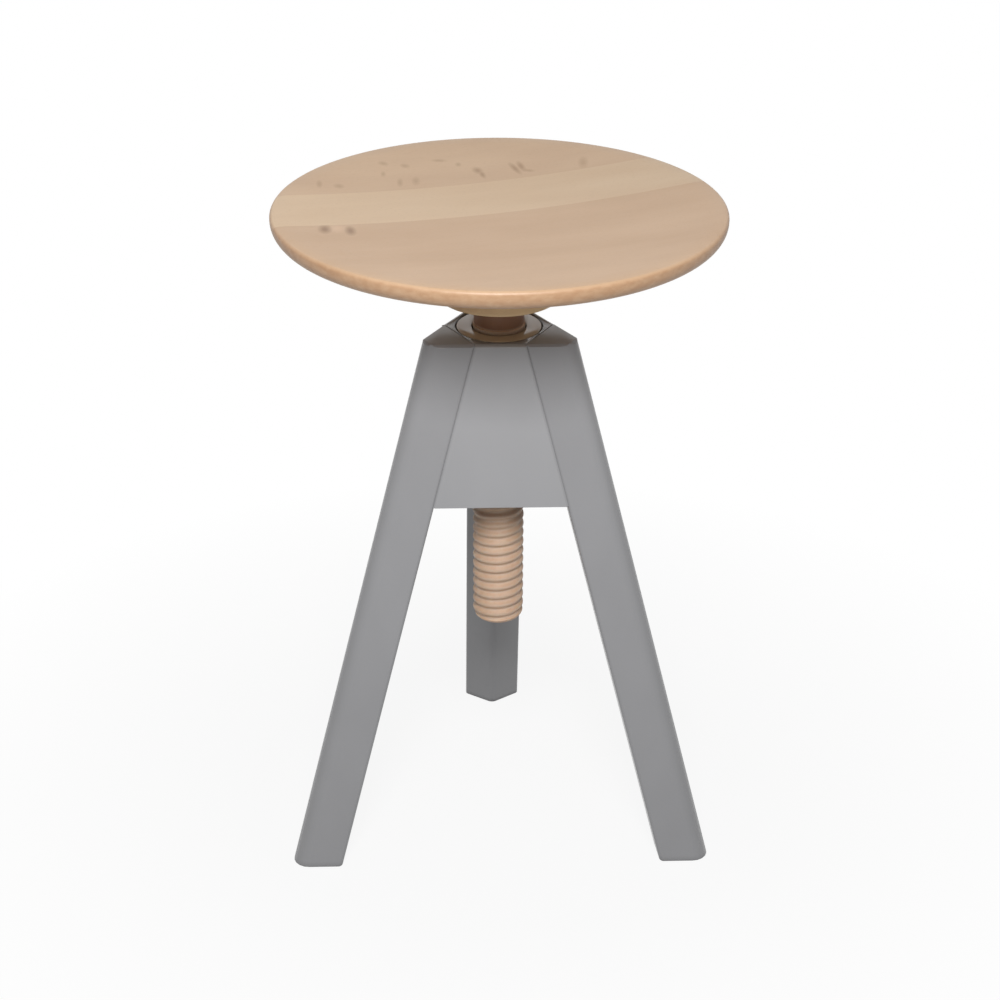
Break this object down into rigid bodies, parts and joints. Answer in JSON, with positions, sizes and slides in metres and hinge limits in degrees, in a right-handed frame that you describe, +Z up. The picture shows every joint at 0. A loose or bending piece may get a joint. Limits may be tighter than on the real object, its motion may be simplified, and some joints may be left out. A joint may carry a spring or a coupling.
{
  "type": "screw stool",
  "caption": "Stool whose round beech seat turns up and down on a wooden screw, over a splayed grey lacquered wooden base.",
  "frame": {"origin": "on the floor, at the centre of the stool's bounding box seen from above; the screw's axis stands 10.4 mm in front of it, because the back leg reaches further out than the seat", "axes": "+Z up along the screw, -Y towards the front panel of the hub, between the left and right legs"},
  "size_m": [0.344, 0.3648, 0.525],
  "materials": {
    "seat_beech": "clear matt lacquer on edge-glued beech",
    "seat_beech_pale": "clear matt lacquer on a paler beech board",
    "turned_beech": "clear matt lacquer on turned beech",
    "dowel_beech": "bare fluted dowel",
    "grey_lacquer": "semi-gloss grey lacquer on solid wood",
    "lacquer_nut": "glossy grey lacquer on a turned and threaded wooden nut",
    "zinc_steel": "bright zinc plate"
  },
  "bodies": {
    "base": {"nut_bush": "lacquer_nut", "nut_pins": "dowel_beech", "hub_stave_front": "grey_lacquer", "hub_stave_left": "grey_lacquer", "hub_stave_right": "grey_lacquer", "leg_back": "grey_lacquer", "leg_left": "grey_lacquer", "leg_right": "grey_lacquer", "leg_dowels_back": "dowel_beech", "leg_dowels_left": "dowel_beech", "leg_dowels_right": "dowel_beech"},
    "lift": {"centre_dowel": "dowel_beech"},
    "seat": {"seat_board_front": "seat_beech", "seat_board_middle": "seat_beech_pale", "seat_board_back": "seat_beech", "front_seam_dowels": "dowel_beech", "back_seam_dowels": "dowel_beech", "seat_boss": "turned_beech", "boss_screws": "zinc_steel", "tenon_pin": "dowel_beech", "screw_spindle": "turned_beech"}
  },
  "joints": [
    {"name": "seat_lift", "type": "slide", "parent": "base", "child": "lift", "axis": [0, 0, 1], "range_m": [0, 0.192]},
    {"name": "seat_turn", "type": "hinge", "parent": "lift", "child": "seat", "pos_m": [0, -0.01039, 0.43], "axis": [0, 0, 1], "range_deg": [0, 8640]}
  ],
  "couplings": [
    {"joint": "seat_lift", "follows": "seat_turn", "m_per_rad": 0.0012732}
  ]
}
